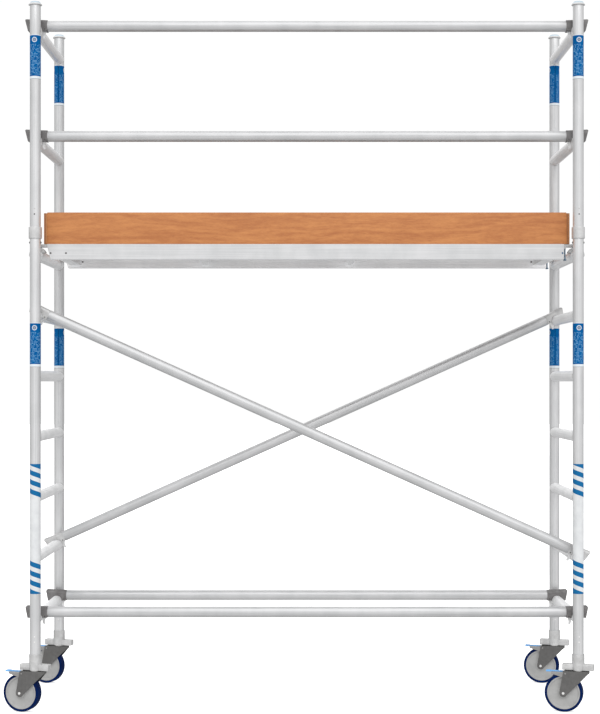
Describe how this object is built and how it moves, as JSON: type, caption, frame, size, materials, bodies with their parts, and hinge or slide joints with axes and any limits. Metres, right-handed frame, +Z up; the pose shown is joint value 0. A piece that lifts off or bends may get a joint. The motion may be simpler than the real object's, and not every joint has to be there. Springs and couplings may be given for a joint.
{
  "type": "mobile scaffold tower",
  "caption": "Rolling ladder-frame scaffold tower with crossed braces, a trapdoor platform between toe boards, guardrails on one side and braked swivel castors with height spindles.",
  "frame": {"origin": "on the floor, under the middle of the overall outline seen from above", "axes": "+X to the right along the bay, +Y away from the guardrail side, +Z up"},
  "size_m": [2.7245, 0.7996, 3.269],
  "materials": {
    "tube_aluminium": "satin extruded",
    "cap_plastic": "satin moulded",
    "dark_casting": "dark coated casting",
    "light_casting": "as-cast",
    "platform_aluminium": "mill",
    "deck_plywood": "film faced plywood",
    "toe_board_wood": "oiled plywood",
    "fastener_steel": "zinc plated",
    "blue_plastic": "moulded",
    "nut_casting": "as-cast",
    "zinc_steel": "zinc plated",
    "fork_steel": "dark grey coat",
    "pedal_steel": "coated",
    "wheel_plastic": "moulded nylon",
    "tyre": "elastic tread"
  },
  "bodies": {
    "tower": {"lower_frame_left": "tube_aluminium", "lower_frame_right": "tube_aluminium", "upper_frame_left": "tube_aluminium", "upper_frame_right": "tube_aluminium", "joint_collars": "tube_aluminium", "spigots": "tube_aluminium", "post_caps": "cap_plastic", "frame_fasteners": "fastener_steel", "guardrails": "tube_aluminium", "base_braces": "tube_aluminium", "diagonal_brace_front": "tube_aluminium", "diagonal_brace_rear": "tube_aluminium", "guardrail_claws": "dark_casting", "base_brace_claws": "dark_casting", "diagonal_claws": "light_casting", "platform_beams": "platform_aluminium", "platform_cross_members": "platform_aluminium", "deck_board": "deck_plywood", "platform_hooks": "light_casting", "platform_fittings": "fastener_steel", "toe_boards": "toe_board_wood"},
    "nut_front_left": {"nut_front_left": "nut_casting"},
    "spindle_front_left": {"spindle_front_left": "zinc_steel"},
    "fork_front_left": {"fork_front_left": "fork_steel"},
    "wheel_front_left": {"wheel_front_left": "wheel_plastic", "tyre_front_left": "tyre"},
    "pedal_front_left": {"pedal_front_left": "pedal_steel"},
    "nut_front_right": {"nut_front_right": "nut_casting"},
    "spindle_front_right": {"spindle_front_right": "zinc_steel"},
    "fork_front_right": {"fork_front_right": "fork_steel"},
    "wheel_front_right": {"wheel_front_right": "wheel_plastic", "tyre_front_right": "tyre"},
    "pedal_front_right": {"pedal_front_right": "pedal_steel"},
    "nut_rear_left": {"nut_rear_left": "nut_casting"},
    "spindle_rear_left": {"spindle_rear_left": "zinc_steel"},
    "fork_rear_left": {"fork_rear_left": "fork_steel"},
    "wheel_rear_left": {"wheel_rear_left": "wheel_plastic", "tyre_rear_left": "tyre"},
    "pedal_rear_left": {"pedal_rear_left": "pedal_steel"},
    "nut_rear_right": {"nut_rear_right": "nut_casting"},
    "spindle_rear_right": {"spindle_rear_right": "zinc_steel"},
    "fork_rear_right": {"fork_rear_right": "fork_steel"},
    "wheel_rear_right": {"wheel_rear_right": "wheel_plastic", "tyre_rear_right": "tyre"},
    "pedal_rear_right": {"pedal_rear_right": "pedal_steel"},
    "latch_top_rail_left": {"latch_top_rail_left": "light_casting"},
    "latch_top_rail_right": {"latch_top_rail_right": "light_casting"},
    "latch_mid_rail_left": {"latch_mid_rail_left": "light_casting"},
    "latch_mid_rail_right": {"latch_mid_rail_right": "light_casting"},
    "latch_base_front_left": {"latch_base_front_left": "light_casting"},
    "latch_base_front_right": {"latch_base_front_right": "light_casting"},
    "latch_base_rear_left": {"latch_base_rear_left": "light_casting"},
    "latch_base_rear_right": {"latch_base_rear_right": "light_casting"},
    "latch_diagonal_front_left": {"latch_diagonal_front_left": "light_casting"},
    "latch_diagonal_front_right": {"latch_diagonal_front_right": "light_casting"},
    "latch_diagonal_rear_left": {"latch_diagonal_rear_left": "light_casting"},
    "latch_diagonal_rear_right": {"latch_diagonal_rear_right": "light_casting"},
    "windlock_front": {"windlock_front": "blue_plastic"},
    "windlock_rear": {"windlock_rear": "blue_plastic"},
    "hatch": {"hatch_panel": "deck_plywood"}
  },
  "joints": [
    {"name": "hatch_hinge", "type": "hinge", "parent": "tower", "child": "hatch", "pos_m": [-0.7889, -0.2329, 2.1535], "axis": [1, 0, 0], "range_deg": [0, 88]},
    {"name": "windlock_front_hinge", "type": "hinge", "parent": "tower", "child": "windlock_front", "pos_m": [1.2376, -0.2859, 2.14], "axis": [0, -1, 0], "range_deg": [0, 24]},
    {"name": "windlock_rear_hinge", "type": "hinge", "parent": "tower", "child": "windlock_rear", "pos_m": [1.2376, 0.2601, 2.14], "axis": [0, -1, 0], "range_deg": [0, 24]},
    {"name": "height_front_left", "type": "slide", "parent": "tower", "child": "spindle_front_left", "axis": [0, 0, -1], "range_m": [0, 0.2]},
    {"name": "height_front_right", "type": "slide", "parent": "tower", "child": "spindle_front_right", "axis": [0, 0, -1], "range_m": [0, 0.2]},
    {"name": "height_rear_left", "type": "slide", "parent": "tower", "child": "spindle_rear_left", "axis": [0, 0, -1], "range_m": [0, 0.2]},
    {"name": "height_rear_right", "type": "slide", "parent": "tower", "child": "spindle_rear_right", "axis": [0, 0, -1], "range_m": [0, 0.2]},
    {"name": "brake_front_left", "type": "hinge", "parent": "fork_front_left", "child": "pedal_front_left", "pos_m": [-1.26509, -0.34699, 0.178], "axis": [-0.284, -0.9588, 0], "range_deg": [0, 13]},
    {"name": "brake_front_right", "type": "hinge", "parent": "fork_front_right", "child": "pedal_front_right", "pos_m": [1.23491, -0.34699, 0.178], "axis": [-0.284, -0.9588, 0], "range_deg": [0, 13]},
    {"name": "brake_rear_left", "type": "hinge", "parent": "fork_rear_left", "child": "pedal_rear_left", "pos_m": [-1.26509, 0.35301, 0.178], "axis": [-0.284, -0.9588, 0], "range_deg": [0, 13]},
    {"name": "brake_rear_right", "type": "hinge", "parent": "fork_rear_right", "child": "pedal_rear_right", "pos_m": [1.23491, 0.35301, 0.178], "axis": [-0.284, -0.9588, 0], "range_deg": [0, 13]},
    {"name": "swivel_front_left", "type": "hinge", "parent": "spindle_front_left", "child": "fork_front_left", "pos_m": [-1.2114, -0.3629, 0.186], "axis": [0, 0, 1], "continuous": true},
    {"name": "swivel_front_right", "type": "hinge", "parent": "spindle_front_right", "child": "fork_front_right", "pos_m": [1.2886, -0.3629, 0.186], "axis": [0, 0, 1], "continuous": true},
    {"name": "swivel_rear_left", "type": "hinge", "parent": "spindle_rear_left", "child": "fork_rear_left", "pos_m": [-1.2114, 0.3371, 0.186], "axis": [0, 0, 1], "continuous": true},
    {"name": "swivel_rear_right", "type": "hinge", "parent": "spindle_rear_right", "child": "fork_rear_right", "pos_m": [1.2886, 0.3371, 0.186], "axis": [0, 0, 1], "continuous": true},
    {"name": "roll_front_left", "type": "hinge", "parent": "fork_front_left", "child": "wheel_front_left", "pos_m": [-1.27372, -0.34444, 0.0875], "axis": [0.284, 0.9588, 0], "continuous": true},
    {"name": "roll_front_right", "type": "hinge", "parent": "fork_front_right", "child": "wheel_front_right", "pos_m": [1.22628, -0.34444, 0.0875], "axis": [0.284, 0.9588, 0], "continuous": true},
    {"name": "roll_rear_left", "type": "hinge", "parent": "fork_rear_left", "child": "wheel_rear_left", "pos_m": [-1.27372, 0.35556, 0.0875], "axis": [0.284, 0.9588, 0], "continuous": true},
    {"name": "roll_rear_right", "type": "hinge", "parent": "fork_rear_right", "child": "wheel_rear_right", "pos_m": [1.22628, 0.35556, 0.0875], "axis": [0.284, 0.9588, 0], "continuous": true},
    {"name": "nut_turn_front_left", "type": "hinge", "parent": "tower", "child": "nut_front_left", "pos_m": [-1.2114, -0.3629, 0.193], "axis": [0, 0, 1], "range_deg": [0, 12001]},
    {"name": "nut_turn_front_right", "type": "hinge", "parent": "tower", "child": "nut_front_right", "pos_m": [1.2886, -0.3629, 0.193], "axis": [0, 0, 1], "range_deg": [0, 12001]},
    {"name": "nut_turn_rear_left", "type": "hinge", "parent": "tower", "child": "nut_rear_left", "pos_m": [-1.2114, 0.3371, 0.193], "axis": [0, 0, 1], "range_deg": [0, 12001]},
    {"name": "nut_turn_rear_right", "type": "hinge", "parent": "tower", "child": "nut_rear_right", "pos_m": [1.2886, 0.3371, 0.193], "axis": [0, 0, 1], "range_deg": [0, 12001]},
    {"name": "latch_top_rail_left_hinge", "type": "hinge", "parent": "tower", "child": "latch_top_rail_left", "pos_m": [-1.1744, -0.3029, 3.153], "axis": [0, -1, 0], "range_deg": [0, 22], "stiffness_Nm_per_rad": 0.4, "springref_deg": -5.73},
    {"name": "latch_top_rail_right_hinge", "type": "hinge", "parent": "tower", "child": "latch_top_rail_right", "pos_m": [1.2516, -0.3029, 3.153], "axis": [0, 1, 0], "range_deg": [0, 22], "stiffness_Nm_per_rad": 0.4, "springref_deg": -5.73},
    {"name": "latch_mid_rail_left_hinge", "type": "hinge", "parent": "tower", "child": "latch_mid_rail_left", "pos_m": [-1.1744, -0.3029, 2.642], "axis": [0, -1, 0], "range_deg": [0, 22], "stiffness_Nm_per_rad": 0.4, "springref_deg": -5.73},
    {"name": "latch_mid_rail_right_hinge", "type": "hinge", "parent": "tower", "child": "latch_mid_rail_right", "pos_m": [1.2516, -0.3029, 2.642], "axis": [0, 1, 0], "range_deg": [0, 22], "stiffness_Nm_per_rad": 0.4, "springref_deg": -5.73},
    {"name": "latch_base_front_left_hinge", "type": "hinge", "parent": "tower", "child": "latch_base_front_left", "pos_m": [-1.1744, -0.3029, 0.435], "axis": [0, -1, 0], "range_deg": [0, 22], "stiffness_Nm_per_rad": 0.4, "springref_deg": -5.73},
    {"name": "latch_base_front_right_hinge", "type": "hinge", "parent": "tower", "child": "latch_base_front_right", "pos_m": [1.2516, -0.3029, 0.435], "axis": [0, 1, 0], "range_deg": [0, 22], "stiffness_Nm_per_rad": 0.4, "springref_deg": -5.73},
    {"name": "latch_base_rear_left_hinge", "type": "hinge", "parent": "tower", "child": "latch_base_rear_left", "pos_m": [-1.1744, 0.2771, 0.435], "axis": [0, -1, 0], "range_deg": [0, 22], "stiffness_Nm_per_rad": 0.4, "springref_deg": -5.73},
    {"name": "latch_base_rear_right_hinge", "type": "hinge", "parent": "tower", "child": "latch_base_rear_right", "pos_m": [1.2516, 0.2771, 0.435], "axis": [0, 1, 0], "range_deg": [0, 22], "stiffness_Nm_per_rad": 0.4, "springref_deg": -5.73},
    {"name": "latch_diagonal_front_left_hinge", "type": "hinge", "parent": "tower", "child": "latch_diagonal_front_left", "pos_m": [-1.17436, -0.3029, 1.81917], "axis": [0, -1, 0], "range_deg": [0, 22], "stiffness_Nm_per_rad": 0.4, "springref_deg": -5.73},
    {"name": "latch_diagonal_front_right_hinge", "type": "hinge", "parent": "tower", "child": "latch_diagonal_front_right", "pos_m": [1.2581, -0.3029, 0.72943], "axis": [0, 1, 0], "range_deg": [0, 22], "stiffness_Nm_per_rad": 0.4, "springref_deg": -5.73},
    {"name": "latch_diagonal_rear_left_hinge", "type": "hinge", "parent": "tower", "child": "latch_diagonal_rear_left", "pos_m": [-1.1809, 0.2771, 0.72943], "axis": [0, -1, 0], "range_deg": [0, 22], "stiffness_Nm_per_rad": 0.4, "springref_deg": -5.73},
    {"name": "latch_diagonal_rear_right_hinge", "type": "hinge", "parent": "tower", "child": "latch_diagonal_rear_right", "pos_m": [1.25156, 0.2771, 1.81917], "axis": [0, 1, 0], "range_deg": [0, 22], "stiffness_Nm_per_rad": 0.4, "springref_deg": -5.73}
  ],
  "couplings": [
    {"joint": "nut_turn_front_left", "follows": "height_front_left", "rad_per_m": 1047.2},
    {"joint": "nut_turn_front_right", "follows": "height_front_right", "rad_per_m": 1047.2},
    {"joint": "nut_turn_rear_left", "follows": "height_rear_left", "rad_per_m": 1047.2},
    {"joint": "nut_turn_rear_right", "follows": "height_rear_right", "rad_per_m": 1047.2}
  ]
}
